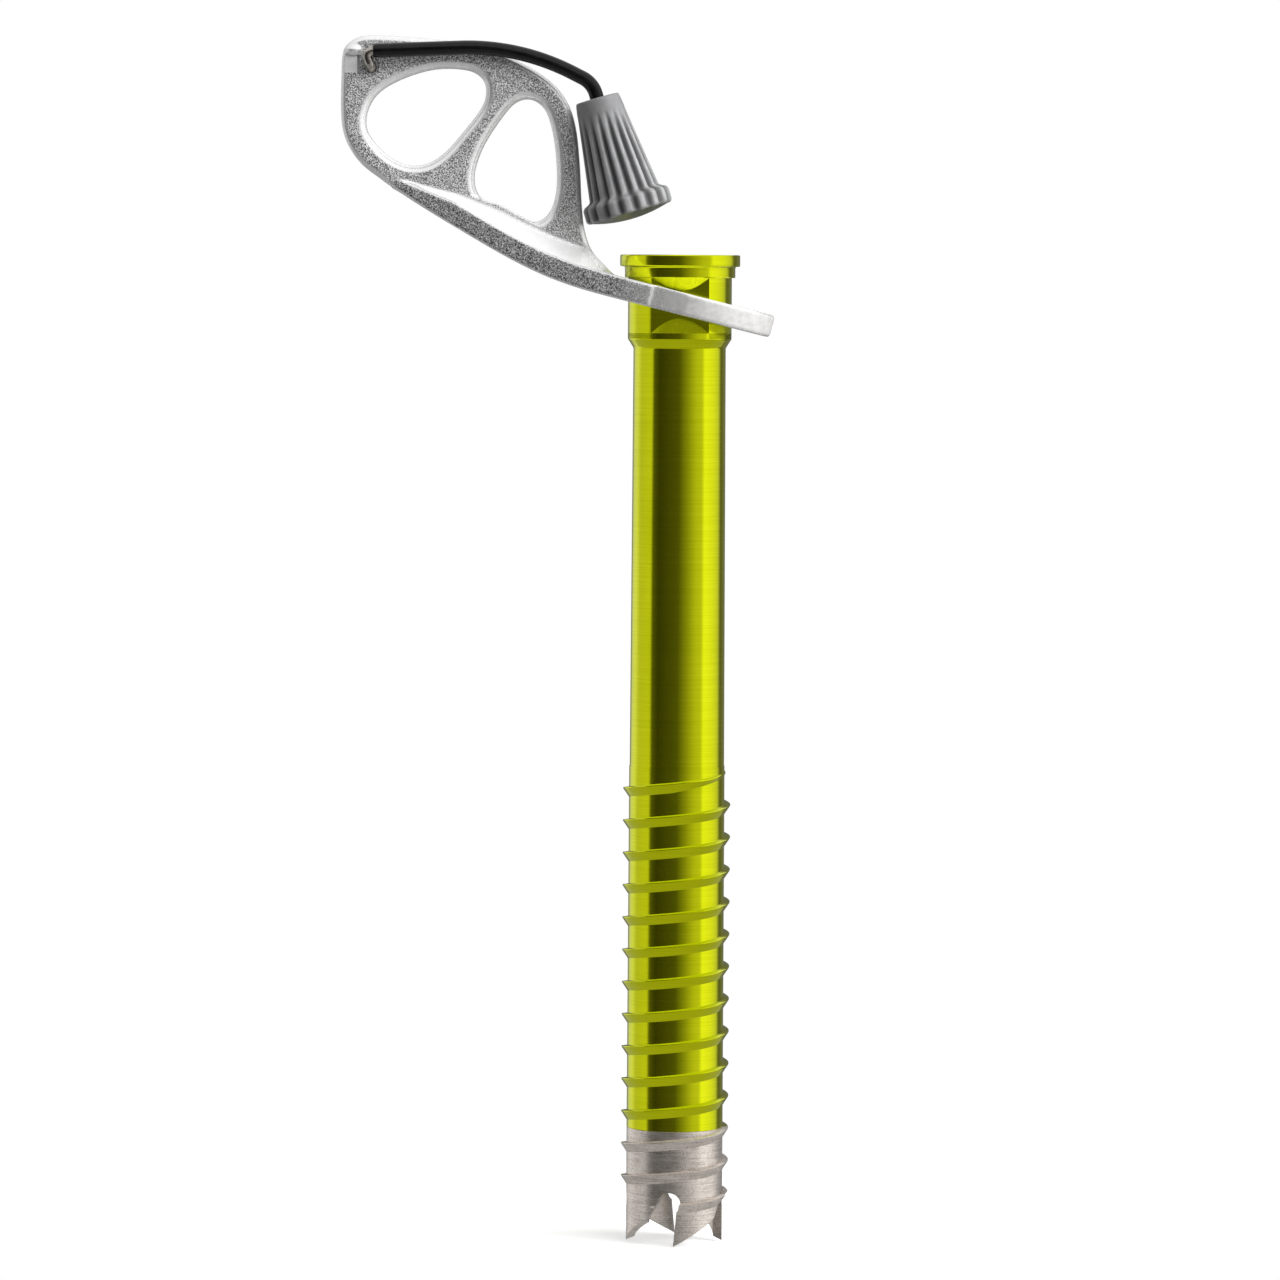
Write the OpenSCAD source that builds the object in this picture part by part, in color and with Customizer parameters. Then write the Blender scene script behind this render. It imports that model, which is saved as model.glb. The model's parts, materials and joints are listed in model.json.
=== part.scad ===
// Ice climbing screw: a bored tube with a steel crown, a forged hanger and a folding crank.
// Millimetres, +Z up the tube. The origin is on the tube's axis, in the top face of its flange.

/* [Tube] */
// Length from the top of the flange to the joint with the steel tip
tube_length = 180.3; // [150:0.1:240]
// Diameter of the bore
bore_d = 16.3; // [15:0.1:16.6]
// Diameter of the shank just under the neck
shank_top_d = 19.0; // [18.4:0.1:19.2]
// Diameter of the shank where the thread starts, wider than above so that the core slides out
shank_low_d = 19.5; // [19.1:0.1:19.7]
// Diameter of the flange
flange_d = 24.7; // [24:0.1:28]
// Thickness of the flange
flange_h = 2.4; // [1.8:0.1:3]
// Diameter of the collar under the flange
collar_d = 22.74; // [22.2:0.02:23]
// Height of the collar, flange cove included
collar_h = 2.3; // [1.8:0.1:3]

/* [Neck] */
// Diameter of the neck that the hanger rides on
neck_d = 21.34; // [21:0.02:21.6]
// Height of the neck, from the collar to the shoulder
neck_h = 12.5; // [12:0.1:14]
// Distance across the two flats that key the hanger
flats_w = 17.76; // [17.5:0.02:18.4]
// Height of the flats along the middle of the neck
flats_mid_h = 5.6; // [5.4:0.1:6]
// Height of the cone between the neck and the shank
shoulder_h = 2.0; // [1:0.1:3]

/* [Thread] */
// Distance from one turn to the next
pitch = 6.71; // [5:0.01:9]
// Diameter over the crests
crest_d = 22.2; // [21.4:0.1:23]
// Diameter of the core under the first turn
core_top_d = 19.7; // [19.5:0.1:19.9]
// Diameter of the core at the steel tip
core_low_d = 19.9; // [19.7:0.1:20.1]
// Height of the sloping underside of a turn
thread_slope_h = 1.9; // [1:0.1:2.6]
// Width of the crest
crest_w = 0.25; // [0.15:0.05:0.5]
// Depth from the top of the flange to the start of the thread
thread_start = 106; // [60:1:140]
// Facets in each turn
thread_facets = 30; // [20:2:40]

/* [Steel tip] */
// Length of the tip outside the tube, teeth included
tip_length = 23.8; // [20:0.1:32]
// Length of the spigot inside the tube
spigot_length = 9; // [6:0.5:14]
// Diameter of the spigot
spigot_d = 18.2; // [17.8:0.1:18.6]
// Number of cutting teeth
tooth_count = 4; // [4:1:4]
// Height of the notch between two teeth
notch_h = 11.1; // [10:0.1:12]
// Diameter of the round end of the notch
notch_d = 4.6; // [3.6:0.1:5]
// Lean of the cutting edge from the axis, in degrees
rake_lean = 5; // [0:1:10]
// Height that the sloping back of a tooth reaches beside the notch
relief_h = 5.4; // [4:0.1:6]

/* [Hanger] */
// Thickness of the ring and the arm
arm_t = 4.6; // [4:0.1:5]
// Thickness of the eye plate
plate_t = 4.1; // [3.4:0.1:4.6]
// Diameter of the ring
ring_d = 33.2; // [32:0.1:36]
// How far the ring's centre lies beyond the tube's axis
ring_shift = 3; // [2:0.1:4]
// Diameter of the round of the ring's hole
ring_hole_d = 23.5; // [23.4:0.02:24]
// Gap between the ring and each flat of the neck
key_gap = 0.17; // [0.12:0.01:0.25]
// Angle at which the ring leans on the collar, in degrees
lean = 14; // [10:1:14]
// Radius of the forged edges
edge_r = 1.3; // [0.8:0.1:1.6]
// Radius of the edges of the ring and the arm
arm_edge_r = 0.6; // [0.4:0.1:1.2]
// Radius of the fillet between the arm and the eye plate
web_fillet_r = 4.5; // [2:0.1:5]

/* [Crank] */
// Diameter of the wire
wire_d = 1.9; // [1.6:0.1:2.1]
// Diameter of the sleeve
sleeve_d = 2.9; // [2.7:0.1:3.2]
// Gap between the sleeve and the face of the eye plate
sleeve_gap = 0.15; // [0.1:0.05:0.5]
// Radial clearance of the wire in the pivot hole and in the knob
wire_clearance = 0.08; // [0.05:0.01:0.1]
// Bend radius of the wire over the pivot
pivot_bend_r = 1.2; // [1.1:0.1:1.3]
// Bend radius of the long bow
bow_r = 47; // [40:1:50]
// Bend radius of the wire above the knob
knob_bend_r = 5.4; // [4:0.1:6]

/* [Knob] */
// Length of the knob without its dome
knob_length = 24.5; // [22:0.1:28]
// Diameter of the narrow end
knob_small_d = 9.1; // [8.6:0.1:10]
// Diameter of the fluted body beside the rim
knob_body_d = 14.7; // [13:0.1:15.4]
// Diameter of the rim
knob_rim_d = 18.4; // [16:0.1:20]
// Height of the rim
knob_rim_h = 3.9; // [3:0.1:5]
// Number of flutes
flute_count = 18; // [12:1:22]
// Depth of the flutes
flute_depth = 0.6; // [0.3:0.05:0.9]
// Rise of the domed cap
cap_dome_h = 1.2; // [0.6:0.1:2]

/* [Hidden] */
$fn = 64;
eps = 0.01;

// Heights along the tube, all below the flange's top face
collar_z = -(flange_h + collar_h);
neck_low_z = collar_z - neck_h;
shank_z = neck_low_z - shoulder_h;
joint_z = -tube_length;
tip_z = joint_z - tip_length;
spigot_z = joint_z + spigot_length;

// The flats run out into cones at both ends of the neck
flats_top_z = collar_z - 2.7;
flats_low_z = flats_top_z - flats_mid_h;
flats_end_z = flats_low_z - 3.05;
rock_z = (flats_top_z + flats_low_z) / 2 + 0.3;

// A part that fits inside another is smaller by this much all round
slip = 0.05;

// Corner points of the hanger, in its own upright plane, ring level at the origin
plate_outline = [
    [-13, 0.6], [-24, -0.4], [-40, 2.7], [-54, 5.6], [-62.5, 8.1], [-66.4, 9.6],
    [-70.3, 11.3], [-73.6, 13.9], [-76, 17.3], [-77.6, 22], [-79, 28], [-79.8, 32],
    [-79.5, 34.3], [-77.2, 36.7], [-73.4, 37.9], [-68.9, 38.8], [-63, 39.8], [-56.4, 40.7],
    [-49.6, 40.7], [-42.6, 39.4], [-36.6, 37.2], [-32.5, 34], [-29.6, 29.4], [-27, 22.4],
    [-24.6, 14.6], [-22.6, 9.4], [-20, 5.7], [-16.4, 3.3]
];
outer_eye = [
    [-54, 35.4], [-60.4, 34], [-66.3, 30.6], [-70.6, 26.4], [-71.9, 21.8], [-70.6, 17.9],
    [-66.2, 14.7], [-61.5, 13.6], [-57.4, 14.9], [-54.3, 18.3], [-51.7, 23.4], [-49.6, 28.4],
    [-49.3, 31.6], [-50.6, 34.3]
];
inner_eye = [
    [-40.3, 32.8], [-43.2, 31], [-45.6, 25.8], [-47.2, 20.3], [-47.4, 15], [-45.7, 11.4],
    [-42.1, 9.5], [-36.3, 8.5], [-32.6, 9], [-30.6, 11.6], [-30.5, 16.6], [-32.4, 23.4],
    [-34.8, 28.8], [-37.2, 31.9]
];
// Underside of the arm at stations from its thin end to the ring
arm_low = [
    [-64, 8.7], [-61, 7.5], [-57, 6.2], [-51.5, 4.5], [-46, 2.9], [-40.5, 1.3], [-35.2, -0.1],
    [-30, -1.2], [-25, -1.9], [-20, -2.25], [-15, -2.3], [-10, -2.3], [-5, -2.3]
];

// Crank: the wire's corners in the hanger's plane, and the axis of the knob
pivot = [-73.3, 31];
leg_angle = 125;
sleeve_start = [-73.8, 34.47];
wire_rise = 16.3;
bow_point = [-33, 40.2];
wire_fall = -12.6;
knob_top = [-26.9, 36.4];
knob_angle = -59.7;
wire_front = plate_t / 2 + sleeve_gap + sleeve_d / 2;
leg_bend_r = 1.2;

// Depths inside the knob, measured from its narrow end
rim_z = knob_length - knob_rim_h;
cavity_z = knob_length - 4.3;
cavity_d = 8.4;
sleeve_pocket_h = 3.2;
sleeve_in_knob = 3;
knob_washer_h = 0.8;

function direction(a) = [cos(a), sin(a)];
// Where two lines meet, each given by a point and an angle
function crossing(p, a, q, b) =
    p + direction(a) * (cross(q - p, direction(b)) / cross(direction(a), direction(b)));

// Point of a smooth curve between b and c, with t from 0 to 1
function spline(a, b, c, d, t) =
    0.5 * (2 * b + (c - a) * t + (2 * a - 5 * b + 4 * c - d) * t * t
    + (3 * b - a - 3 * c + d) * t * t * t);
function closed_curve(p, steps) =
    let (n = len(p))
    [for (i = [0 : n - 1], k = [0 : steps - 1])
        spline(p[(i + n - 1) % n], p[i], p[(i + 1) % n], p[(i + 2) % n], k / steps)];
// A clockwise outline moved inwards along its normals, by one distance for each point
function inset(c, d) =
    let (n = len(c))
    [for (i = [0 : n - 1])
        let (t = c[(i + 1) % n] - c[(i + n - 1) % n])
        c[i] + d[i] * [t[1], -t[0]] / norm(t)];
// Rim of a plate with rounded edges, from face to face, as [share of the radius inwards,
// half thicknesses up, share of the radius from the face]
function rim_steps(n) = concat(
    [for (i = [0 : n]) [1 - sin(90 * i / n), 1, 1 - cos(90 * i / n)]],
    [for (i = [n : -1 : 0]) [1 - sin(90 * i / n), -1, 1 - cos(90 * i / n)]]);
function same(value, c) = [for (p = c) value];

// Closed solid from rings of points, each ring with the same number of points.
// A split end is a row of four-cornered faces between the ring's two mirrored halves.
module loft(rings, split_ends = false) {
    n = len(rings[0]);
    last = (len(rings) - 1) * n;
    points = [for (r = rings) each r];
    sides = [for (i = [0 : len(rings) - 2], k = [0 : n - 1])
        let (a = i * n + k, b = i * n + (k + 1) % n)
        each [[a, a + n, b + n], [a, b + n, b]]];
    ends = split_ends
        ? [for (k = [0 : n / 2 - 2]) each [
            [k, k + 1, n - 2 - k, n - 1 - k],
            [last + n - 1 - k, last + n - 2 - k, last + k + 1, last + k]
        ]]
        : [[for (k = [0 : n - 1]) k], [for (k = [n - 1 : -1 : 0]) last + k]];
    polyhedron(points, concat(sides, ends));
}

// The tube and its thread

function core_r(z) =
    (core_top_d + (core_low_d - core_top_d) * (-thread_start - z) / (tube_length - thread_start)) / 2;

// The thread ends inside the gap before the first tooth
thread_stop = 8;
thread_turns = (tube_length + tip_length - thread_start - thread_stop) / pitch;
tube_turns = (tube_length - thread_start) / pitch;

// Helical ridge between two numbers of turns; it rises out of the core and runs out at the tip
module thread_ridge(from, to) {
    fade_in = 0.35;
    fade_out = 0.1;
    buried = 0.15;
    first = round(from * thread_facets);
    last = round(to * thread_facets);
    loft([for (i = [first : last])
        let (
            u = i / thread_facets,
            c = [cos(30 - 360 * u), sin(30 - 360 * u)],
            z = -thread_start - pitch * u,
            f = max(0, min(1, u / fade_in, (thread_turns - u) / fade_out)),
            root = core_r(z) - 0.3,
            low_crest = core_r(z) - buried,
            crest = low_crest + (crest_d / 2 - low_crest) * f
        )
        [
            [c[0] * root, c[1] * root, z + 0.2],
            [c[0] * root, c[1] * root, z - crest_w - thread_slope_h * f - 0.1],
            [c[0] * crest, c[1] * crest, z - crest_w],
            [c[0] * crest, c[1] * crest, z]
        ]]);
}

module bore(from, to) {
    translate([0, 0, to]) cylinder(h = from - to, d = bore_d);
}

// Round at the sides, with two flats front and back that run out in cones
module neck() {
    intersection() {
        translate([0, 0, neck_low_z]) cylinder(h = neck_h, d = neck_d);
        translate([-flange_d, -flats_w / 2, neck_low_z - 1]) cube([2 * flange_d, flats_w, neck_h + 2]);
    }
    translate([0, 0, flats_top_z]) cylinder(h = collar_z - flats_top_z, d1 = flats_w, d2 = neck_d);
    translate([0, 0, flats_end_z]) cylinder(h = flats_low_z - flats_end_z, d1 = neck_d, d2 = flats_w);
    translate([0, 0, neck_low_z]) cylinder(h = flats_end_z - neck_low_z, d = neck_d);
}

module head_and_shank() {
    edge = 0.25;
    rotate_extrude() polygon([
        [0, 0], [flange_d / 2 - edge, 0], [flange_d / 2, -edge],
        [flange_d / 2, edge - flange_h], [flange_d / 2 - edge, -flange_h],
        [collar_d / 2 + edge, -flange_h], [collar_d / 2, -flange_h - edge],
        [collar_d / 2, collar_z], [0, collar_z]
    ]);
    neck();
    rotate_extrude() polygon([
        [0, neck_low_z], [neck_d / 2, neck_low_z], [neck_d / 2 - 0.15, neck_low_z - 0.3],
        [shank_top_d / 2 + 0.2, shank_z + 0.4], [shank_top_d / 2, shank_z],
        [shank_low_d / 2, 0.8 - thread_start], [core_r(-thread_start), 0.5 - thread_start],
        [core_low_d / 2, joint_z], [0, joint_z]
    ]);
}

module screw_tube() {
    color("yellowgreen") difference() {
        union() {
            head_and_shank();
            difference() {
                thread_ridge(0, tube_turns + 0.3);
                translate([0, 0, joint_z - 4 * pitch]) cylinder(h = 4 * pitch, d = crest_d + 2);
            }
        }
        bore(1, joint_z - 1);
        translate([0, 0, joint_z - 1]) cylinder(h = spigot_length + 1 + slip, d = spigot_d + 2 * slip);
    }
}

// The steel tip

// Cut outwards from the axis; the outline's x runs round the tip and its y runs up
module radial_cut(angle) {
    rotate([0, 0, angle]) rotate([90, 0, 90]) linear_extrude(height = crest_d) children();
}

// Gap before a cutting edge: the sloping back of the next tooth, a round notch, the cutting face
module tooth_gap(angle) {
    r = core_low_d / 2;
    relief_span = 57;
    half = r * sin(relief_span / 2);
    slope = relief_h / (2 * half);
    // The tooth's point keeps a narrow flat, and the two cuts overlap
    land = 0.15;
    over = 0.4;
    notch_r = notch_d / 2;
    notch_z = notch_h - notch_r;
    radial_cut(angle - 90 + relief_span / 2) polygon([
        [land - half, -1], [half + over, -1], [half + over, relief_h + over * slope],
        [land - half, land * slope]
    ]);
    // The rest of the gap is cut from this side, 15 degrees before the edge
    side = 15;
    left = r * sin(relief_span - 90 + side);
    right = r * sin(side);
    notch_x = r * sin(side - 5.4);
    face_z = notch_z - notch_r / 2;
    radial_cut(angle - side) {
        polygon([
            [left, -1], [right - tan(rake_lean), -1],
            [right + tan(rake_lean) * face_z, face_z], [notch_x, notch_z],
            [notch_x - 0.6 * notch_r, notch_z + 0.3 * notch_r], [left, relief_h]
        ]);
        translate([notch_x, notch_z]) circle(r = notch_r);
    }
}

module steel_tip() {
    color("lightslategray") difference() {
        union() {
            translate([0, 0, tip_z]) cylinder(h = tip_length, d = core_low_d);
            translate([0, 0, joint_z - 1]) cylinder(h = spigot_length + 1, d = spigot_d);
            difference() {
                thread_ridge(tube_turns - 0.6, thread_turns);
                translate([0, 0, joint_z]) cylinder(h = 2 * pitch, d = crest_d + 2);
            }
        }
        bore(spigot_z + 1, tip_z - 1);
        for (i = [1 : tooth_count])
            translate([0, 0, tip_z]) tooth_gap(-91.4 + i * 360 / tooth_count);
    }
}

// The hanger. It is drawn level, with the ring's centre plane at the origin.

module hanger_place() {
    translate([0, 0, rock_z]) rotate([0, lean, 0]) children();
}

// Outlines drawn in x and y stand up in x and z, and heights run towards the front
module upright() {
    rotate([90, 0, 0]) children();
}

module eye_plate() {
    c = closed_curve(plate_outline, 3);
    upright() loft([for (s = rim_steps(3))
        [for (p = inset(c, same(edge_r * s[0], c))) [p[0], p[1], s[1] * (plate_t / 2 - edge_r * s[2])]]]);
}

// Cutter for an eye, flared at both faces so that the eye's edges are rounded
module eye_cut(corners) {
    n = len(corners);
    c = closed_curve([for (i = [n - 1 : -1 : 0]) corners[i]], 3);
    flare = 0.7 * edge_r;
    steps = concat([[1, 1, -1]], rim_steps(3), [[1, -1, -1]]);
    upright() loft([for (s = steps)
        [for (p = inset(c, same(-flare * s[0], c))) [p[0], p[1], s[1] * (plate_t / 2 - flare * s[2])]]]);
}

// Plan of the arm and the ring: straight sides from the arm's thin end, tangent to the ring
arm_tip = [arm_low[0][0], plate_t / 2 + 0.1];
to_ring = [ring_shift, 0] - arm_tip;
tangent = atan2(to_ring[1], to_ring[0]) + asin(ring_d / 2 / norm(to_ring));
half_plan = concat(
    [for (p = arm_low) [p[0], arm_tip[1] + (p[0] - arm_tip[0]) * tan(tangent)]],
    [for (i = [0 : 15]) [ring_shift, 0] + ring_d / 2 * direction((tangent + 90) * (1 - i / 15.5))]
);
plan = concat(half_plan, [for (i = [len(half_plan) - 1 : -1 : 0]) [half_plan[i][0], -half_plan[i][1]]]);
// The arm is thin where it leaves the eye plate, and its edges are rounded less there
function arm_thick(x) = min(arm_t, 2.4 + 0.16 * (x - arm_tip[0]));
function arm_top(x) = lookup(x, arm_low) + arm_thick(x);
function arm_edge(x) = min(arm_edge_r, 0.1 + 0.08 * (x - arm_tip[0]));

module arm_and_ring() {
    radii = [for (p = plan) arm_edge(p[0])];
    loft([for (s = rim_steps(3))
        let (c = inset(plan, radii * s[0]))
        [for (i = [0 : len(c) - 1])
            let (half = arm_thick(c[i][0]) / 2)
            [c[i][0], c[i][1], arm_top(c[i][0]) - half + s[1] * (half - radii[i] * s[2])]]],
        split_ends = true);
}

// Fillets between the arm's top and both faces of the eye plate
module web() {
    sunk = 0.04;
    web_tip = arm_tip[0] + 3;
    half = plate_t / 2 - sunk;
    stations = [-60, -57, -54, -51.5, -46, -40.5, -35.2, -30, -26, -23, -20.5, -18.5, -16.8];
    loft([for (x = stations)
        let (
            r = min(web_fillet_r, 0.22 * (x - web_tip), 0.15 + 0.8 * max(0, -16.6 - x)),
            top = arm_top(x) - sunk,
            side = [for (a = [270 : -22.5 : 180]) [half + r + r * cos(a), top + r + r * sin(a)]],
            left = concat([[half + r, top - 0.4]], side)
        )
        concat([for (p = left) [x, p[0], p[1]]],
            [for (i = [len(left) - 1 : -1 : 0]) [x, -left[i][0], left[i][1]]])
    ]);
}

module ring_hole() {
    intersection() {
        translate([0, 0, -2 * arm_t]) cylinder(h = 4 * arm_t, d = ring_hole_d);
        cube([2 * ring_d, flats_w + 2 * key_gap, 4 * arm_t], center = true);
    }
}

// Shallow flats where the ring was pressed shut on the neck
module press_marks() {
    w = 8;
    depth = 0.45;
    for (side = [-1, 1])
        translate([ring_shift, 0, -arm_t]) rotate([0, 0, side * 109])
            translate([ring_d / 2 - depth, -w / 2, 0]) cube([3, w, 2 * arm_t]);
}

module hanger() {
    land_d = 3;
    color("silver") hanger_place() difference() {
        // The forged shape is one mesh, and the machined holes are cut into it exactly
        resize([0, 0, 0]) difference() {
            union() {
                eye_plate();
                arm_and_ring();
                web();
            }
            eye_cut(outer_eye);
            eye_cut(inner_eye);
        }
        ring_hole();
        press_marks();
        upright() translate([pivot[0], pivot[1], -plate_t]) cylinder(h = 2 * plate_t, d = wire_d + 2 * wire_clearance);
        upright() translate([pivot[0], pivot[1], plate_t / 2 - 0.4]) cylinder(h = 1, d = land_d);
    }
}

// The crank: a bent wire in a sleeve. Its plane lies in front of the eye plate.

function bend_run(turn, r) = r * tan(turn / 2);

// Centre line of a bar, as [point, heading] for each station. Every leg runs straight
// and then bends clockwise, and is given as [length, turn, bend radius].
function stations(legs, p, h, i = 0) =
    i == len(legs) ? [] :
    let (
        run = legs[i][0],
        turn = legs[i][1],
        r = legs[i][2],
        n = ceil(sqrt(r) * turn / 20) + 3,
        centre = p + direction(h) * run + direction(h - 90) * r
    )
    concat(
        i == 0 ? [[p, h]] : [],
        turn > 0
            ? [for (k = [0 : n]) [centre + direction(h + 90 - turn * k / n) * r, h - turn * k / n]]
            : [[p + direction(h) * run, h]],
        stations(legs, centre + direction(h + 90 - turn) * r, h - turn, i + 1)
    );
bar_sides = 20;
// Round section of a bar at one point, across two directions
function section(centre, across, up, r) =
    [for (k = [0 : bar_sides - 1])
        centre + r * (cos(360 * k / bar_sides) * across + sin(360 * k / bar_sides) * up)];
function level(v, z) = [v[0], v[1], z];
function route(legs, p, h, r) =
    [for (s = stations(legs, p, h))
        section(level(s[0], wire_front), level(direction(s[1] + 90), 0), [0, 0, 1], r)];

leg_turn = leg_angle - wire_rise;
bow_turn = wire_rise - wire_fall;
knob_turn = wire_fall - knob_angle;
leg_corner = crossing(pivot, leg_angle, sleeve_start, wire_rise);
bow_corner = crossing(sleeve_start, wire_rise, bow_point, wire_fall);
knob_corner = crossing(bow_point, wire_fall, knob_top, knob_angle);

// The legs from a point on the rising line to a depth inside the knob
function bow(start, depth) = [
    [norm(bow_corner - start) - bend_run(bow_turn, bow_r), bow_turn, bow_r],
    [norm(knob_corner - bow_corner) - bend_run(bow_turn, bow_r) - bend_run(knob_turn, knob_bend_r),
        knob_turn, knob_bend_r],
    [norm(knob_top - knob_corner) - bend_run(knob_turn, knob_bend_r) + depth, 0, 0]
];

washer_gap = 0.1;
pivot_washer_h = 0.5;
pivot_head_h = 0.8;

// The pin through the plate and the bend over it
function pin_sections(low, r) =
    let (
        along = level(direction(leg_angle), 0),
        across = level(direction(leg_angle + 90), 0),
        centre = level(pivot, wire_front - pivot_bend_r) + pivot_bend_r * along
    )
    concat(
        [section(level(pivot, low), across, -along, r)],
        [for (k = [0 : 5])
            let (up = sin(18 * k) * [0, 0, 1] - cos(18 * k) * along)
            section(centre + pivot_bend_r * up, across, up, r)]
    );

module crank_wire() {
    leg_run = bend_run(leg_turn, leg_bend_r);
    leg_start = pivot + direction(leg_angle) * (pivot_bend_r + 0.02);
    leg = norm(leg_corner - leg_start) - leg_run;
    rise_start = leg_corner + direction(wire_rise) * leg_run;
    head_z = -plate_t / 2 - washer_gap - pivot_washer_h - pivot_head_h;
    legs = concat([[leg, leg_turn, leg_bend_r]], bow(rise_start, cavity_z + 1.9));
    color("gainsboro") hanger_place() upright() {
        loft(concat(pin_sections(head_z, wire_d / 2), route(legs, leg_start, leg_angle, wire_d / 2)));
        translate([pivot[0], pivot[1], head_z])
            cylinder(h = pivot_head_h, d1 = 1.4 * wire_d, d2 = 1.7 * wire_d);
    }
}

module wire_sleeve() {
    overrun = 1;
    inner_start = sleeve_start - direction(wire_rise) * overrun;
    color("dimgray") hanger_place() upright() difference() {
        loft(route(bow(sleeve_start, sleeve_in_knob), sleeve_start, wire_rise, sleeve_d / 2));
        loft(route(bow(inner_start, sleeve_in_knob + overrun), inner_start, wire_rise, wire_d / 2 + slip));
    }
}

module pivot_washer() {
    color("darkgray") hanger_place() upright()
        translate([pivot[0], pivot[1], -plate_t / 2 - washer_gap - pivot_washer_h]) difference() {
            cylinder(h = pivot_washer_h, d = 2.3 * wire_d);
            translate([0, 0, -1]) cylinder(h = pivot_washer_h + 2, d = wire_d + 2 * slip);
        }
}

// The knob, drawn with its narrow end at the origin and its length up

module knob_place() {
    hanger_place() upright() translate([knob_top[0], knob_top[1], wire_front])
        rotate([0, 0, knob_angle]) rotate([0, 90, 0]) children();
}

// Outside of the knob as rings of [radius, height, depth of the flutes]
knob_edge = 0.35;
knob_rim_edge = 0.8;
function cone_r(z) = (knob_small_d + (knob_body_d - knob_small_d) * z / (rim_z - 0.8)) / 2;
knob_rings = concat(
    [[knob_small_d / 2 - knob_edge, 0, 0]],
    [for (s = [[0.02, 0], [0.14, 0], [0.22, 0.2], [0.36, 0.7], [0.6, 1], [0.97, 1]])
        [cone_r(s[0] * rim_z), s[0] * rim_z, s[1] * flute_depth]],
    [for (s = [[0.5, 0.3], [0.13, 0.7], [0, 1.3]]) [knob_rim_d / 2 - s[0], rim_z + s[1], flute_depth]],
    [for (a = [0 : 30 : 90])
        [knob_rim_d / 2 - knob_rim_edge * (1 - cos(a)), knob_length - knob_rim_edge * (1 - sin(a)),
            flute_depth * (1 - a / 180)]]
);
flute_sides = 5;

module fluted_cone() {
    n = flute_count * flute_sides;
    loft([for (ring = knob_rings)
        [for (k = [0 : n - 1])
            let (r = ring[0] - ring[2] * (1 - cos(360 * k / flute_sides)) / 2)
            level(r * direction(360 * k / n), ring[1])]]);
}

module crank_knob() {
    color("gray") knob_place() difference() {
        fluted_cone();
        translate([0, 0, -1]) cylinder(h = knob_length + 2, d = wire_d + 2 * wire_clearance);
        translate([0, 0, -1]) cylinder(h = sleeve_pocket_h + 1, d = sleeve_d + 0.5);
        translate([0, 0, cavity_z]) cylinder(h = knob_length, d = cavity_d);
    }
}

module knob_washer() {
    color("darkgray") knob_place() translate([0, 0, cavity_z + 0.15]) difference() {
        cylinder(h = knob_washer_h, d = 6.2);
        translate([0, 0, -1]) cylinder(h = knob_washer_h + 2, d = wire_d + 2 * slip);
    }
}

module knob_cap() {
    base_r = knob_rim_d / 2 - 1.1;
    dome_r = (base_r * base_r + cap_dome_h * cap_dome_h) / (2 * cap_dome_h);
    dome_angle = asin(base_r / dome_r);
    dome = [for (i = [0 : 8]) dome_r * [sin(dome_angle * i / 8), cos(dome_angle * i / 8)]];
    plug_h = 1.6;
    color("gray") knob_place() translate([0, 0, knob_length + eps]) {
        rotate_extrude() polygon(concat([[0, 0]], [for (p = dome) p + [0, cap_dome_h - dome_r]]));
        translate([0, 0, -plug_h]) cylinder(h = plug_h + 0.1, d = cavity_d - 2 * slip);
    }
}

screw_tube();
steel_tip();
hanger();
crank_wire();
wire_sleeve();
pivot_washer();
crank_knob();
knob_washer();
knob_cap();
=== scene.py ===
"""Looks of the ice climbing screw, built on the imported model.

Lengths are millimetres until a mesh is made.
"""
import json
import math

import bmesh
import bpy
from mathutils import Matrix, Vector

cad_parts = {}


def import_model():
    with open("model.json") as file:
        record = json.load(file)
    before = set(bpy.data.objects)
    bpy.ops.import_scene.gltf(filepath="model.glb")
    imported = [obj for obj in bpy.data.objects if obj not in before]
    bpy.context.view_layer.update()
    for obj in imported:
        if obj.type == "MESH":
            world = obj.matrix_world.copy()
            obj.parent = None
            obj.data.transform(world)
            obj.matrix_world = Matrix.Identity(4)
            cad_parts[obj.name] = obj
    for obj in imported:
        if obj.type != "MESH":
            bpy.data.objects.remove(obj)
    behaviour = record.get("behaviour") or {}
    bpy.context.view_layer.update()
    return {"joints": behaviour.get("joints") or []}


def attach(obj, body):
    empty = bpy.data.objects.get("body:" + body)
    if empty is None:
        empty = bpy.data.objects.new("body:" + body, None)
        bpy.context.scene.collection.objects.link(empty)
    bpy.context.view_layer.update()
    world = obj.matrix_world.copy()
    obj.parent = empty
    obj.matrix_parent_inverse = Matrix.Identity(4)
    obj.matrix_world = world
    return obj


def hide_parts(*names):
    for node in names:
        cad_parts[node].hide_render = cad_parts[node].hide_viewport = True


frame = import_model()

MM = 0.001

# Sizes, nearly all of them shared with the solid model
TUBE_LENGTH = 180.3
TIP_LENGTH = 23.8
JOINT_Z = -TUBE_LENGTH
TIP_Z = JOINT_Z - TIP_LENGTH
BORE_R = 8.15
FLANGE_R = 12.35
FLANGE_H = 2.4
COLLAR_R = 11.37
COLLAR_Z = -4.7
NECK_R = 10.67
NECK_LOW_Z = -17.2
FLAT_R = 8.88
FLATS_TOP_Z = -7.4
FLATS_LOW_Z = -13.0
FLATS_END_Z = -16.05
SHANK_Z = -19.2
SHANK_TOP_R = 9.5
SHANK_LOW_R = 9.75
THREAD_START = 106.0
PITCH = 6.71
CREST_R = 11.1
CREST_W = 0.25
THREAD_SLOPE_H = 1.9
THREAD_STOP = 8.0
CORE_TOP_R = 9.85
CORE_LOW_R = 9.95
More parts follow.
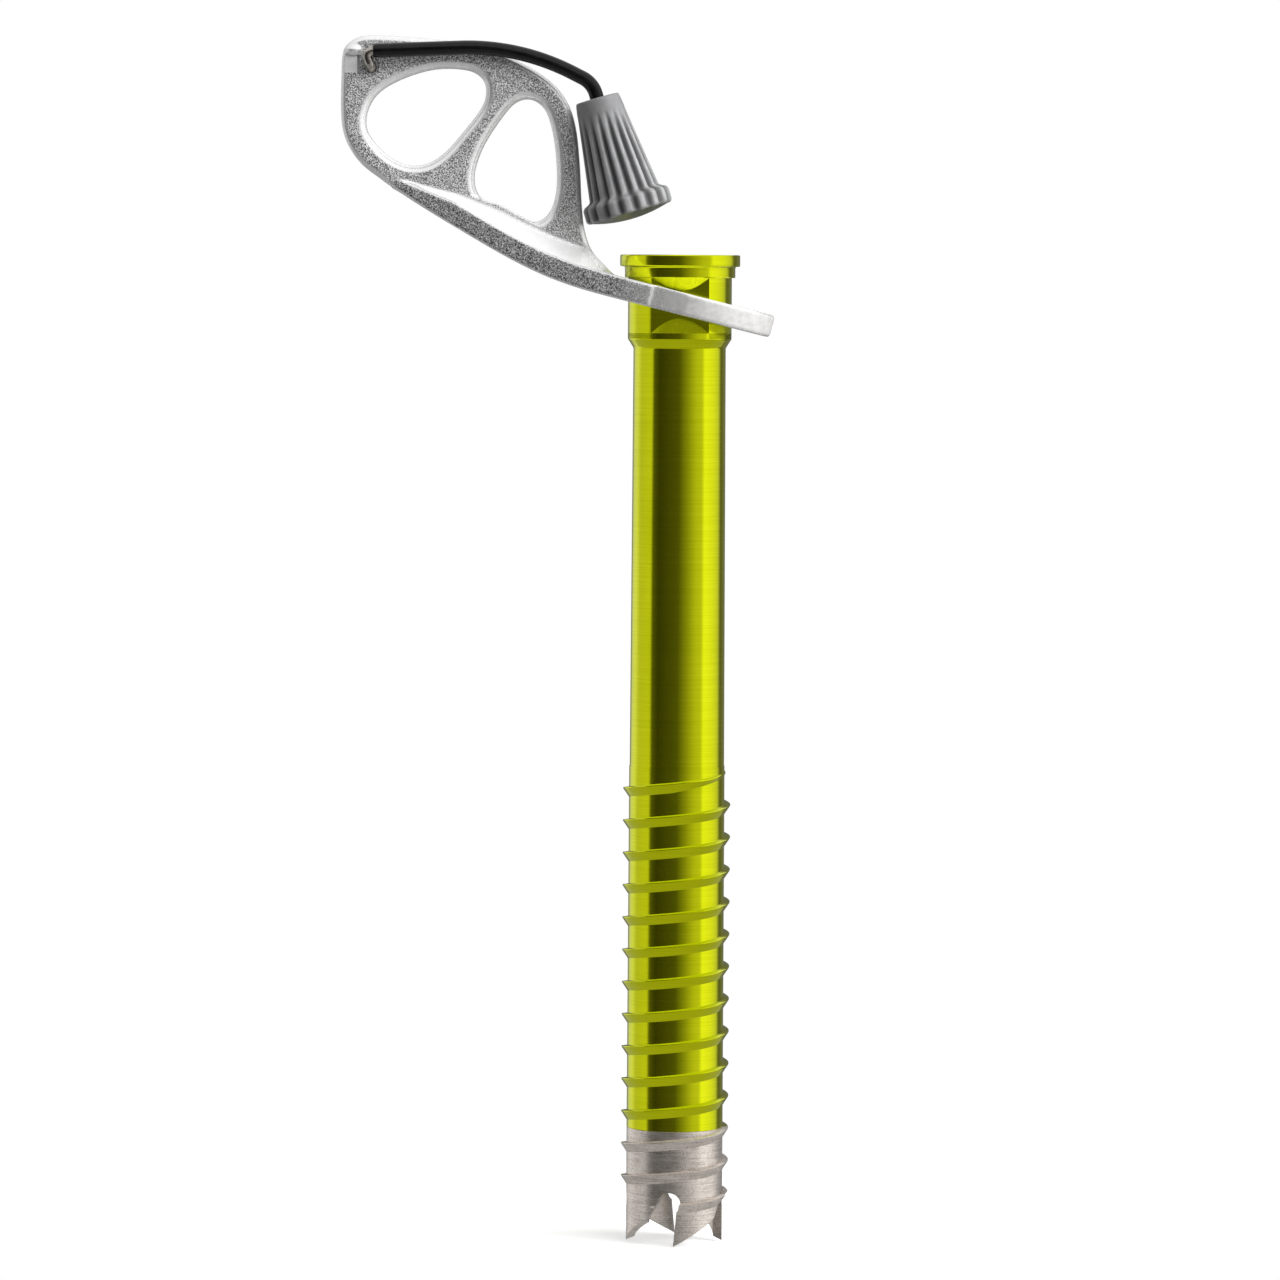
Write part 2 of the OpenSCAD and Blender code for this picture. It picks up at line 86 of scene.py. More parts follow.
LEAN = math.radians(14)
PLATE_T = 4.1
ARM_T = 4.6
RING_R = 16.6
RING_SHIFT = 3.0
RING_HOLE_R = 11.75
KEY_R = 9.05
EDGE_R = 1.3
ARM_EDGE_R = 0.6
EYE_EDGE_R = 1.95
WEB_FILLET_R = 4.5
PRESS_DEPTH = 0.45
PRESS_W = 8.0
PRESS_ANGLE = 109
SEAT_R = 1.5
SEAT_DEPTH = 0.4
PIN_HOLE_R = 1.03
POCKET_DEPTH = 0.25
SLIT_DEPTH = 1.2
WASHER_GAP = 0.1
WASHER_T = 0.5
HEAD_T = 0.8
WIRE_R = 0.95
WIRE_HOLE_R = WIRE_R + 0.05
SLEEVE_R = 1.45
WIRE_FRONT = 3.65
PIVOT = (-73.3, 31.0)
KNOB_TOP = (-26.9, 36.4)
KNOB_ANGLE = -59.7
KNOB_LENGTH = 24.5
KNOB_SMALL_R = 4.55
KNOB_BODY_R = 7.35
KNOB_RIM_R = 9.2
KNOB_RIM_H = 3.9
KNOB_MOUTH_R = 4.2
KNOB_MOUTH_DEPTH = 4.3
KNOB_BORE_R = 1.03
SOCKET_R = 1.7
SOCKET_DEPTH = 3.2
FLUTES = 18
FLUTE_DEPTH = 0.6

# Height of the hanger's hinge
ROCK_Z = next(joint["pos_m"][2] for joint in frame["joints"] if joint["name"] == "hanger_rock") / MM

# Reach of the cutters, across the tube and above and below the ring
CUTTER_HALF = 20
RING_CUT_Z = 9


def direction(angle):
    """Unit vector at an angle in degrees."""
    return Vector((math.cos(math.radians(angle)), math.sin(math.radians(angle))))


def share(value, none, full):
    """How far a value has come from none to full, from 0 to 1."""
    return min(1, max(0, (value - none) / (full - none)))


# Mesh helpers

def make_object(name, verts, faces, matrix=None, scale=MM):
    """Object from points and faces, which the matrix places before they are scaled to metres."""
    mesh = bpy.data.meshes.new(name)
    mesh.from_pydata([tuple(v) for v in verts], [], faces)
    if matrix is not None:
        mesh.transform(matrix)
    mesh.transform(Matrix.Scale(scale, 4))
    mesh.update()
    obj = bpy.data.objects.new(name, mesh)
    bpy.context.scene.collection.objects.link(obj)
    return obj


def fix_normals(obj):
    bm = bmesh.new()
    bm.from_mesh(obj.data)
    bmesh.ops.recalc_face_normals(bm, faces=bm.faces)
    bm.to_mesh(obj.data)
    bm.free()


def shade(obj, angle):
    """Smooth shading with sharp edges above an angle."""
    for p in obj.data.polygons:
        p.use_smooth = True
    obj.data.set_sharp_from_angle(angle=math.radians(angle))


def apply_modifiers(obj):
    bpy.context.view_layer.update()
    graph = bpy.context.evaluated_depsgraph_get()
    mesh = bpy.data.meshes.new_from_object(obj.evaluated_get(graph))
    old = obj.data
    obj.modifiers.clear()
    obj.data = mesh
    bpy.data.meshes.remove(old)


def boolean(obj, other, operation):
    """Cuts or keeps what the other object covers, and removes that object."""
    modifier = obj.modifiers.new("cut", "BOOLEAN")
    modifier.operation = operation
    modifier.solver = "EXACT"
    modifier.object = other
    apply_modifiers(obj)
    bpy.data.objects.remove(other)


def join(target, *others):
    """Adds the meshes of the others to the target's as separate shells."""
    bm = bmesh.new()
    bm.from_mesh(target.data)
    for o in others:
        bm.from_mesh(o.data)
        bpy.data.objects.remove(o)
    bm.to_mesh(target.data)
    bm.free()
    return target


def wall_faces(count, n, loop=False):
    """Quads between neighbouring rings of n points each."""
    faces = []
    for i in range(count if loop else count - 1):
        a = i * n
        b = (i + 1) % count * n
        for k in range(n):
            m = (k + 1) % n
            faces.append((a + k, a + m, b + m, b + k))
    return faces


def loft(name, rings, loop=False, matrix=None):
    """Skin over rings of points, closed at both ends or round in a loop."""
    n = len(rings[0])
    faces = wall_faces(len(rings), n, loop)
    if not loop:
        faces.append(tuple(range(n - 1, -1, -1)))
        faces.append(tuple(range((len(rings) - 1) * n, len(rings) * n)))
    obj = make_object(name, [v for ring in rings for v in ring], faces, matrix)
    fix_normals(obj)
    return obj


def circle(r, z, segments):
    """Points of a level circle round the z axis."""
    turns = [2 * math.pi * k / segments for k in range(segments)]
    return [(r * math.cos(a), r * math.sin(a), z) for a in turns]


def lathe(name, profile, segments=256, matrix=None):
    """Ring from a closed profile of (radius, height)."""
    rings = []
    for i in range(segments):
        a = 2 * math.pi * i / segments
        rings.append([(r * math.cos(a), r * math.sin(a), z) for r, z in profile])
    return loft(name, rings, loop=True, matrix=matrix)


def solid_lathe(name, profile, segments, matrix):
    """Solid of revolution from an open profile that starts and ends near the axis."""
    return loft(name, [circle(r, z, segments) for r, z in profile], matrix=matrix)


def prism(name, outline, low, high, matrix=None):
    rings = [[(x, y, z) for x, y in outline] for z in (low, high)]
    return loft(name, rings, matrix=matrix)


def slice_box(low, high, half_depth=CUTTER_HALF):
    """Box across the whole tube between two heights."""
    w, d = CUTTER_HALF, half_depth
    return prism("slice", [(-w, -d), (w, -d), (w, d), (-w, d)], low, high)


def arc(centre, r, start, end, steps):
    """Points of an arc; angles in degrees."""
    return [
        (centre[0] + r * math.cos(math.radians(start + (end - start) * i / steps)),
         centre[1] + r * math.sin(math.radians(start + (end - start) * i / steps)))
        for i in range(steps + 1)
    ]


def mark_points(obj, name, values):
    obj.data.attributes.new(name, "FLOAT", "POINT").data.foreach_set("value", values)


# Materials

# Attributes of the hanger's faces, each from 0 to 1: three finishes, and sides, which is painted shade on
# the arm's sides
FINISHES_AND_SHADE = ("blasted", "sides", "buffed", "top")


class Nodes:
    """Short names for the nodes of one material or world."""

    def __init__(self, owner, shader="Principled BSDF"):
        owner.use_nodes = True
        self.owner = owner
        self.tree = owner.node_tree
        self.shader = self.tree.nodes[shader]

    def add(self, kind, **settings):
        node = self.tree.nodes.new(kind)
        for key, value in settings.items():
            setattr(node, key, value)
        return node

    def link(self, output, target):
        self.tree.links.new(output, target)

    def put(self, value, socket):
        """Links an output to a socket, or sets the socket to a number or a colour."""
        if isinstance(value, bpy.types.NodeSocket):
            self.link(value, socket)
        elif isinstance(value, tuple):
            socket.default_value = (*value, 1)
        else:
            socket.default_value = value

    def feed(self, socket, value):
        """Gives a socket of the shader its value."""
        self.put(value, self.shader.inputs[socket])

    def coords(self, stretch=(1, 1, 1)):
        """Object coordinates in millimetres, stretched along each axis."""
        source = self.add("ShaderNodeTexCoord")
        mapping = self.add("ShaderNodeMapping")
        mapping.inputs["Scale"].default_value = [s / MM for s in stretch]
        self.link(source.outputs["Object"], mapping.inputs["Vector"])
        return mapping.outputs["Vector"]

    def attribute(self, name):
        return self.add("ShaderNodeAttribute", attribute_name=name).outputs["Fac"]

    def noise(self, vector, scale, detail=3.0, rough=0.55):
        node = self.add("ShaderNodeTexNoise")
        node.inputs["Scale"].default_value = scale
        node.inputs["Detail"].default_value = detail
        node.inputs["Roughness"].default_value = rough
        self.link(vector, node.inputs["Vector"])
        return node.outputs["Fac"]

    def ramp(self, value, *stops):
        """Colour ramp from stops of a position with a colour or a level of grey."""
        node = self.add("ShaderNodeValToRGB")
        ramp = node.color_ramp
        while len(ramp.elements) < len(stops):
            ramp.elements.new(0.5)
        for element, (position, colour) in zip(ramp.elements, stops):
            element.position = position
            rgb = colour if isinstance(colour, tuple) else (colour,) * 3
            element.color = (*rgb, 1)
        self.link(value, node.inputs["Fac"])
        return node.outputs["Color"]

    def mix(self, factor, a, b):
        node = self.add("ShaderNodeMix", data_type="RGBA")
        # The sockets of a colour mix: the factor and the two colours
        for value, index in ((factor, 0), (a, 6), (b, 7)):
            self.put(value, node.inputs[index])
        return node.outputs[2]

    def math(self, operation, a, b=0.0):
        node = self.add("ShaderNodeMath", operation=operation)
        self.put(a, node.inputs[0])
        self.put(b, node.inputs[1])
        return node.outputs[0]

    def scaled(self, value, factor, offset):
        return self.math("ADD", self.math("MULTIPLY", value, factor), offset)

    def map_range(self, value, from_min, from_max, to_min, to_max):
        node = self.add("ShaderNodeMapRange")
        ends = {"From Min": from_min, "From Max": from_max, "To Min": to_min, "To Max": to_max}
        for socket, end in ends.items():
            node.inputs[socket].default_value = end
        self.link(value, node.inputs["Value"])
        return node.outputs["Result"]

    def bump(self, height, strength, distance):
        node = self.add("ShaderNodeBump")
        node.inputs["Strength"].default_value = strength
        node.inputs["Distance"].default_value = distance * MM
        self.link(height, node.inputs["Height"])
        self.link(node.outputs["Normal"], self.shader.inputs["Normal"])


def new_material(name):
    return Nodes(bpy.data.materials.new(name))


def anodised_material():
    m = new_material("anodised_yellow_green")
    m.feed("Metallic", 1.0)
    fine = m.noise(m.coords((0.05, 0.05, 4.0)), 1.0, 2.0)
    broad = m.noise(m.coords((0.15, 0.15, 0.05)), 1.0, 3.0)
    grain = m.noise(m.coords(), 2.2, 4.0)
    tone = m.math("ADD", m.math("MULTIPLY", fine, 0.6), m.math("MULTIPLY", broad, 0.4))
    m.feed("Base Color", m.ramp(tone, (0.3, (0.60, 0.66, 0.004)), (0.7, (0.74, 0.79, 0.010))))
    m.feed("Roughness", m.scaled(grain, 0.06, 0.11))
    m.bump(m.math("ADD", fine, m.math("MULTIPLY", grain, 0.25)), 0.2, 0.008)
    return m.owner


def tip_material():
    m = new_material("tip_steel")
    m.feed("Metallic", 0.9)
    lines = m.noise(m.coords((0.12, 0.12, 5.0)), 1.0, 3.0, 0.7)
    stain = m.noise(m.coords(), 0.35, 4.0, 0.6)
    pits = m.noise(m.coords(), 3.0, 3.0, 0.7)
    colour = m.mix(m.ramp(stain, (0.35, 0.0), (0.7, 1.0)), (0.45, 0.40, 0.36), (0.74, 0.67, 0.60))
    colour = m.mix(m.ramp(lines, (0.35, 0.0), (0.65, 1.0)), colour, (0.88, 0.81, 0.745))
    colour = m.mix(m.ramp(pits, (0.34, 0.55), (0.5, 0.0)), colour, (0.22, 0.19, 0.165))
    m.feed("Base Color", colour)
    m.feed("Roughness", m.scaled(lines, 0.2, 0.22))
    m.bump(m.math("ADD", lines, pits), 0.5, 0.03)
    return m.owner


def forged_material():
    """Forged aluminium with a finish or painted shade for each attribute that mark_finish sets.

    The plate is blasted, the arm's sides are blasted and darkened with painted shade, the ring's sides
    are buffed, and faces marked as top are dull and pale. All else is tumbled bright.
    """
    m = new_material("forged_aluminium")
    blasted, sides, buffed, top = (m.attribute(name) for name in FINISHES_AND_SHADE)
    space = m.coords()
    coarse = m.noise(space, 0.9, 6.0, 0.75)
    dots = m.noise(space, 3.8, 2.0, 0.6)
    blotch = m.noise(space, 0.12, 3.0)
    smear = m.noise(m.coords((0.6, 0.6, 0.8)), 1.0, 5.0, 0.7)
    speckle = m.ramp(dots, (0.39, 0.05), (0.5, 0.38), (0.6, 0.90))
    speckle = m.mix(m.ramp(blotch, (0.3, 0.0), (0.7, 0.2)), speckle, (0.6, 0.6, 0.605))
    # A darker speckle paints shade on the arm's sides
    shaded_speckle = m.ramp(dots, (0.39, 0.045), (0.5, 0.27), (0.62, 0.75))
    tumbled = m.ramp(coarse, (0.3, 0.80), (0.7, 0.90))
    buff = m.ramp(smear, (0.34, (0.54, 0.53, 0.52)), (0.5, (0.62, 0.615, 0.605)),
                  (0.66, (0.68, 0.67, 0.655)))
    colour = m.mix(sides, m.mix(blasted, tumbled, speckle), shaded_speckle)
    m.feed("Base Color", m.mix(buffed, colour, buff))
    dull = m.math("MAXIMUM", m.math("MULTIPLY", buffed, 1.35), m.math("MULTIPLY", top, 1.5))
    dull = m.math("MAXIMUM", blasted, dull)
    m.feed("Metallic", m.math("SUBTRACT", 0.58, m.math("MULTIPLY", dull, 0.2)))
    rough = m.math("ADD", m.math("MULTIPLY", dull, 0.28), m.math("MULTIPLY", coarse, 0.12))
    m.feed("Roughness", m.math("ADD", rough, 0.2))
    height = m.math("MULTIPLY", m.math("ADD", coarse, dots), m.scaled(blasted, 0.9, 0.1))
    m.bump(height, 0.6, 0.12)
    return m.owner


def knob_material():
    m = new_material("knob_plastic")
    space = m.coords()
    cloud = m.noise(space, 0.3, 4.0)
    grain = m.noise(space, 6.0, 2.0)
    grey = m.ramp(cloud, (0.3, (0.25, 0.251, 0.255)), (0.7, (0.345, 0.346, 0.352)))
    # Painted shade darkens the flutes' grooves and the knob's mouth, bore and socket; the smooth end and
    # the cap are a little darker too
    darker = m.math("MULTIPLY", m.attribute("painted_shade_and_tone"), 0.85)
    m.feed("Base Color", m.mix(darker, grey, (0.022, 0.022, 0.023)))
    m.feed("Roughness", m.scaled(grain, 0.12, 0.34))
    m.bump(m.math("ADD", grain, m.math("MULTIPLY", cloud, 2.0)), 0.25, 0.03)
    return m.owner


def sleeve_material():
    m = new_material("sleeve_plastic")
    m.feed("Specular IOR Level", 0.3)
    scuff = m.noise(m.coords(), 0.9, 5.0, 0.7)
    m.feed("Base Color", m.ramp(scuff, (0.4, 0.002), (0.75, 0.007)))
    m.feed("Roughness", m.scaled(scuff, 0.15, 0.14))
    m.bump(scuff, 0.2, 0.03)
    return m.owner


def wire_material():
    m = new_material("wire_steel")
    m.feed("Metallic", 1.0)
    drawn = m.noise(m.coords(), 1.5, 4.0)
    m.feed("Base Color", m.ramp(drawn, (0.3, (0.30, 0.28, 0.25)), (0.7, (0.50, 0.47, 0.43))))
    m.feed("Roughness", m.scaled(drawn, 0.12, 0.10))
    m.bump(drawn, 0.2, 0.03)
    return m.owner


# Tube and tip

THREAD_TURNS = (TUBE_LENGTH + TIP_LENGTH - THREAD_START - THREAD_STOP) / PITCH
TUBE_TURNS = (TUBE_LENGTH - THREAD_START) / PITCH


def core_r(z):
    """Radius of the core under the thread, which grows a little towards the tip."""
    return CORE_TOP_R + (CORE_LOW_R - CORE_TOP_R) * (-THREAD_START - z) / (TUBE_LENGTH - THREAD_START)


def thread_ridge(name, start, end):
    """The ridge between two counts of turns. It rises out of the core and sinks into it again."""
    per_turn = 96
    start_angle = 30
    rise_turns = 0.35
    fall_turns = 0.1
    buried = 0.15
    root_depth = 0.3
    top_rise = 0.2
    soft = 0.06
    rings = []
    for i in range(round(start * per_turn), round(end * per_turn) + 1):
        u = i / per_turn
        a = math.radians(start_angle - 360 * u)
        z = -THREAD_START - PITCH * u
        grown = max(0.02, min(1, u / rise_turns, (THREAD_TURNS - u) / fall_turns))
        root = core_r(z) - root_depth
        crest = core_r(z) - buried + (CREST_R - core_r(z) + buried) * grown
        profile = [
            (root, z + top_rise),
            (crest - 2 * soft * grown, z + 0.02),
            (crest, z - soft),
            (crest, z - CREST_W + soft),
            (crest - soft * grown, z - CREST_W - soft * grown),
            (root, z - CREST_W - (THREAD_SLOPE_H + root_depth) * grown),
        ]
        rings.append([(r * math.cos(a), r * math.sin(a), h) for r, h in profile])
    return loft(name, rings)


def tube_head():
    """Flange and collar."""
    edge = 0.3
    mouth = 0.25
    cove = 0.35
    chamfer = 0.12
    return lathe("screw_tube_skin", [
        (BORE_R, COLLAR_Z), (BORE_R, -mouth), (BORE_R + mouth, 0),
        *arc((FLANGE_R - edge, -edge), edge, 90, 0, 4),
        *arc((FLANGE_R - edge, edge - FLANGE_H), edge, 0, -90, 4),
        *arc((COLLAR_R + cove, -FLANGE_H - cove), cove, 90, 180, 4),
        (COLLAR_R, COLLAR_Z + chamfer), (COLLAR_R - chamfer, COLLAR_Z)
    ])


def tube_neck():
    """Neck with two flats, and the cones that the flats run out into."""
    sunk = 0.3
    neck = lathe("neck", [
        (BORE_R, COLLAR_Z + sunk), (NECK_R, COLLAR_Z + sunk), (NECK_R, NECK_LOW_Z), (BORE_R, NECK_LOW_Z)
    ])
    boolean(neck, slice_box(2 * NECK_LOW_Z, -COLLAR_Z, FLAT_R), "INTERSECT")
    cones = lathe("cones", [
        (BORE_R, COLLAR_Z), (NECK_R, COLLAR_Z), (FLAT_R, FLATS_TOP_Z), (FLAT_R, FLATS_LOW_Z),
        (NECK_R, FLATS_END_Z), (NECK_R, NECK_LOW_Z), (BORE_R, NECK_LOW_Z)
    ])
    return neck, cones


def tube_shank():
    """Shank under the neck, with a soft shoulder, down to the joint."""
    return lathe("shank", [
        (BORE_R, NECK_LOW_Z), (NECK_R, NECK_LOW_Z), (NECK_R - 0.04, NECK_LOW_Z - 0.2),
        (NECK_R - 0.16, NECK_LOW_Z - 0.35), (SHANK_TOP_R + 0.22, SHANK_Z + 0.4),
        (SHANK_TOP_R + 0.06, SHANK_Z + 0.15), (SHANK_TOP_R, SHANK_Z - 0.2),
        (SHANK_LOW_R, 0.8 - THREAD_START), (core_r(-THREAD_START), 0.5 - THREAD_START),
        (CORE_LOW_R, JOINT_Z), (BORE_R, JOINT_Z)
    ])


def screw_tube():
    past_joint = 0.3
    ridge = thread_ridge("ridge", 0, TUBE_TURNS + past_joint)
    boolean(ridge, slice_box(JOINT_Z - 2 * CUTTER_HALF, JOINT_Z), "DIFFERENCE")
    return join(tube_head(), *tube_neck(), tube_shank(), ridge)


def radial_prism(angle, outline):
    """Prism outwards from the axis: the outline's x runs round the tip and its y runs up from the teeth."""
    turn = Matrix.Rotation(math.radians(angle), 4, "Z")
    near, far = 2, 16
    rings = [[turn @ Vector((out, x, TIP_Z + y)) for x, y in outline] for out in (near, far)]
    return loft("cutter", rings)


def tooth_cutters(angle):
    """The sloped relief of one tooth, and the round-ended gap beside it."""
    below = -1
    relief_span = 57
    relief_h = 5.4
    land = 0.15
    over = 0.4
    half = CORE_LOW_R * math.sin(math.radians(relief_span / 2))
    slope = relief_h / (2 * half)
    relief = radial_prism(angle - 90 + relief_span / 2, [
        (land - half, below), (half + over, below),
        (half + over, relief_h + over * slope), (land - half, land * slope)
    ])
    gap_turn = 15
    gap_top = 11.1
    notch_r = 2.3
    notch_turn = 9.6
    lean = math.tan(math.radians(5))
    left = CORE_LOW_R * math.sin(math.radians(relief_span - 90 + gap_turn))
    right = CORE_LOW_R * math.sin(math.radians(gap_turn))
    notch_x = CORE_LOW_R * math.sin(math.radians(notch_turn))
    notch_z = gap_top - notch_r
    # The leaning side meets the notch here
    meet_z = notch_z - 1.65
    gap = radial_prism(angle - gap_turn, [
        (left, below), (right - lean, below), (right + lean * meet_z, meet_z),
        *arc((notch_x, notch_z), notch_r, -44, 172, 36), (left, relief_h)
    ])
    return relief, gap


def steel_tip():
    teeth = 4
    first_tooth = -91.4
    seam = 0.02
    edge = 0.1
    past_joint = 0.6
    core = lathe("steel_tip_skin", [
        (BORE_R, TIP_Z), (BORE_R, JOINT_Z - seam), (CORE_LOW_R - edge, JOINT_Z - seam),
        (CORE_LOW_R, JOINT_Z - seam - edge), (CORE_LOW_R, TIP_Z)
    ])
    ridge = thread_ridge("tip_ridge", TUBE_TURNS - past_joint, THREAD_TURNS)
    boolean(ridge, slice_box(JOINT_Z, JOINT_Z + 2 * CUTTER_HALF), "DIFFERENCE")
    for i in range(teeth):
        for obj in (core, ridge):
            for cutter in tooth_cutters(first_tooth + 360 / teeth * i):
                boolean(obj, cutter, "DIFFERENCE")
    return join(core, ridge)


# Hanger

# From the ring's own frame to the object, and from the plate's drawing to the ring's frame
HANGER = Matrix.Translation((0, 0, ROCK_Z)) @ Matrix.Rotation(LEAN, 4, "Y")
UPRIGHT = Matrix.Rotation(math.radians(90), 4, "X")
PLACE = HANGER @ UPRIGHT

PLATE_OUTLINE = [
    (-13, 0.6), (-24, -0.4), (-40, 2.7), (-54, 5.6), (-62.5, 8.1), (-66.4, 9.6),
    (-70.3, 11.3), (-73.6, 13.9), (-76, 17.3), (-77.6, 22), (-79, 28), (-79.8, 32),
    (-79.5, 34.3), (-77.2, 36.7), (-73.4, 37.9), (-68.9, 38.8), (-63, 39.8), (-56.4, 40.7),
    (-49.6, 40.7), (-42.6, 39.4), (-36.6, 37.2), (-32.5, 34), (-29.6, 29.4), (-27, 22.4),
    (-24.6, 14.6), (-22.6, 9.4), (-20, 5.7), (-16.4, 3.3)
]
OUTER_EYE = [
    (-54, 35.4), (-60.4, 34), (-66.3, 30.6), (-70.6, 26.4), (-71.9, 21.8), (-70.6, 17.9),
    (-66.2, 14.7), (-61.5, 13.6), (-57.4, 14.9), (-54.3, 18.3), (-51.7, 23.4), (-49.6, 28.4),
    (-49.3, 31.6), (-50.6, 34.3)
]
INNER_EYE = [
    (-40.3, 32.8), (-43.2, 31), (-45.6, 25.8), (-47.2, 20.3), (-47.4, 15), (-45.7, 11.4),
    (-42.1, 9.5), (-36.3, 8.5), (-32.6, 9), (-30.6, 11.6), (-30.5, 16.6), (-32.4, 23.4),
    (-34.8, 28.8), (-37.2, 31.9)
]
BOSS_PLACE = (-77.7, 33.7)
POCKET_PLACE = (-76.1, 32.0)
# Along the arm's underside
ARM_LOW = [
    (-64, 8.7), (-61, 7.5), (-57, 6.2), (-51.5, 4.5), (-46, 2.9), (-40.5, 1.3), (-35.2, -0.1),
    (-30, -1.2), (-25, -1.9), (-20, -2.25), (-15, -2.3), (-10, -2.3), (-5, -2.3)
]


def closed_curve(points, steps=10):
    """Smooth closed curve through the points."""
    out = []
    n = len(points)
    for i in range(n):
        a, b, c, d = (Vector(points[(i + k) % n]) for k in (-1, 0, 1, 2))
        for j in range(steps):
            t = j / steps
            out.append(0.5 * (2 * b + (c - a) * t + (2 * a - 5 * b + 4 * c - d) * t * t
                              + (3 * b - a - 3 * c + d) * t ** 3))
    return out


def inset(points, distances):
    """Closed outline moved inwards by a distance at each point."""
    out = []
    n = len(points)
    for i, p in enumerate(points):
        t = points[(i + 1) % n] - points[i - 1]
        t.normalize()
        out.append(p + distances[i] * Vector((t.y, -t.x)))
    return out


def rim_steps():
    """Rounded rim as (share of the radius inwards, side of the plate, share of the radius down)."""
    n = 6
    angles = [math.pi / 2 * i / n for i in range(n + 1)]
    half = [(1 - math.sin(a), 1 - math.cos(a)) for a in angles]
    return [(a, 1, b) for a, b in half] + [(a, -1, b) for a, b in reversed(half)]


def plate_loft(name, points, r, cutter=False):
    """Plate with rounded edges, or the flared cutter of an eye, which stands out of the plate."""
    half = PLATE_T / 2
    beyond = 1.5
    steps = rim_steps()
    if cutter:
        steps = [(1, 1, -beyond)] + steps + [(1, -1, -beyond)]
    sign = -1 if cutter else 1
    rings = []
    for a, side, b in steps:
        ring = inset(points, [sign * r * a] * len(points))
        rings.append([(p.x, p.y, side * (half - r * b)) for p in ring])
    return loft(name, rings, matrix=UPRIGHT)


def arm_low(x):
    """Height of the arm's underside."""
    if x <= ARM_LOW[0][0]:
        return ARM_LOW[0][1]
    for (x0, z0), (x1, z1) in zip(ARM_LOW, ARM_LOW[1:]):
        if x <= x1:
            t = (x - x0) / (x1 - x0)
            return z0 + (z1 - z0) * t
    return ARM_LOW[-1][1]


def smooth_low(x):
    """The underside's height with its corners rounded."""
    return sum(arm_low(x + d) for d in (-3, -1.5, 0, 1.5, 3)) / 5


ARM_TIP = Vector((ARM_LOW[0][0], PLATE_T / 2 - 0.1))
TO_RING = Vector((RING_SHIFT, 0)) - ARM_TIP
TANGENT = math.degrees(math.atan2(TO_RING.y, TO_RING.x) + math.asin(RING_R / TO_RING.length))


def arm_thick(x):
    """Thickness of the arm, which grows from its tip."""
    tip_t = 2.4
    return min(ARM_T, tip_t + 0.16 * (x - ARM_TIP.x))


def arm_edge(x):
    """Rounding of the arm's edges: like the plate's rim where they meet, then crisper."""
    tip_r = 1.15
    return max(ARM_EDGE_R, tip_r - 0.035 * (x - ARM_TIP.x))


def arm_side(x):
    """How far the arm's side is from its middle."""
    return ARM_TIP.y + (x - ARM_TIP.x) * math.tan(math.radians(TANGENT))


def arm_and_ring():
    """The arm, whose straight sides touch the ring, and the ring without its hole."""
    centre = Vector((RING_SHIFT, 0))
    side_end = RING_SHIFT - 4.5
    side_steps = 60
    ring_steps = 40
    upper = []
    for i in range(side_steps):
        x = ARM_TIP.x + (side_end - ARM_TIP.x) * i / side_steps
        upper.append(Vector((x, arm_side(x))))
    for i in range(ring_steps):
        upper.append(centre + RING_R * direction((TANGENT + 90) * (1 - i / ring_steps)))
    upper.append(Vector((RING_SHIFT + RING_R, 0)))
    plan = upper + [Vector((p.x, -p.y)) for p in reversed(upper[:-1])]
    radii = [arm_edge(p.x) for p in plan]
    rings = []
    for a, side, b in rim_steps():
        points = []
        for p, r in zip(inset(plan, [r * a for r in radii]), radii):
            half_t = arm_thick(p.x) / 2
            points.append((p.x, p.y, smooth_low(p.x) + half_t + side * (half_t - r * b)))
        rings.append(points)
    n = len(plan)
    faces = wall_faces(len(rings), n)
    # The top and the underside are strips between the two mirrored sides
    half = len(upper)
    for start in (0, (len(rings) - 1) * n):
        for k in range(half - 2):
            faces.append((start + k, start + k + 1, start + n - 2 - k, start + n - 1 - k))
        faces.append((start + half - 2, start + half - 1, start + half))
    obj = make_object("arm_and_ring", [v for ring in rings for v in ring], faces)
    fix_normals(obj)
    return obj


def web():
    """Fillets between the plate and the top of the arm, which run out to the arm's edges."""
    start_x, end_x = -60.5, -16.8
    steps = 60
    sunk = 0.04
    skirt = 0.4
    rings = []
    for i in range(steps + 1):
        x = start_x + (end_x - start_x) * i / steps
        rising = 0.22 * (x - ARM_TIP.x - 3)
        falling = 0.15 + 0.8 * max(0, end_x + 0.2 - x)
        r = max(0.05, min(WEB_FILLET_R, rising, falling))
        half = PLATE_T / 2 - sunk
        top = smooth_low(x) + arm_thick(x) - sunk
        reach = max(r, min(1.5 * r, arm_side(x) - arm_edge(x) - half - 0.1))
        side = [(half + reach, top - skirt)]
        side += [(half + reach * y, top + r * z) for y, z in arc((1, 1), 1, 270, 180, 10)]
        rings.append([(x, y, z) for y, z in side] + [(x, -y, z) for y, z in reversed(side)])
    return loft("web", rings)


def ring_hole():
    """Cutter of the keyed hole: a round hole with two flats."""
    corner = math.degrees(math.asin(KEY_R / RING_HOLE_R))
    right = arc((0, 0), RING_HOLE_R, -corner, corner, 24)
    left = arc((0, 0), RING_HOLE_R, 180 - corner, 180 + corner, 24)
    return prism("ring_hole", right + left, -RING_CUT_Z, RING_CUT_Z)


def press_flats(ring):
    """Shallow flats where the ring was pressed shut on the neck."""
    low, high = RING_R - PRESS_DEPTH, RING_R + 3
    half = PRESS_W / 2
    outline = [(low, -half), (high, -half), (high, half), (low, half)]
    for side in (-PRESS_ANGLE, PRESS_ANGLE):
        place = Matrix.Translation((RING_SHIFT, 0, 0)) @ Matrix.Rotation(math.radians(side), 4, "Z")
        boolean(ring, prism("press", outline, -RING_CUT_Z, RING_CUT_Z, place), "DIFFERENCE")


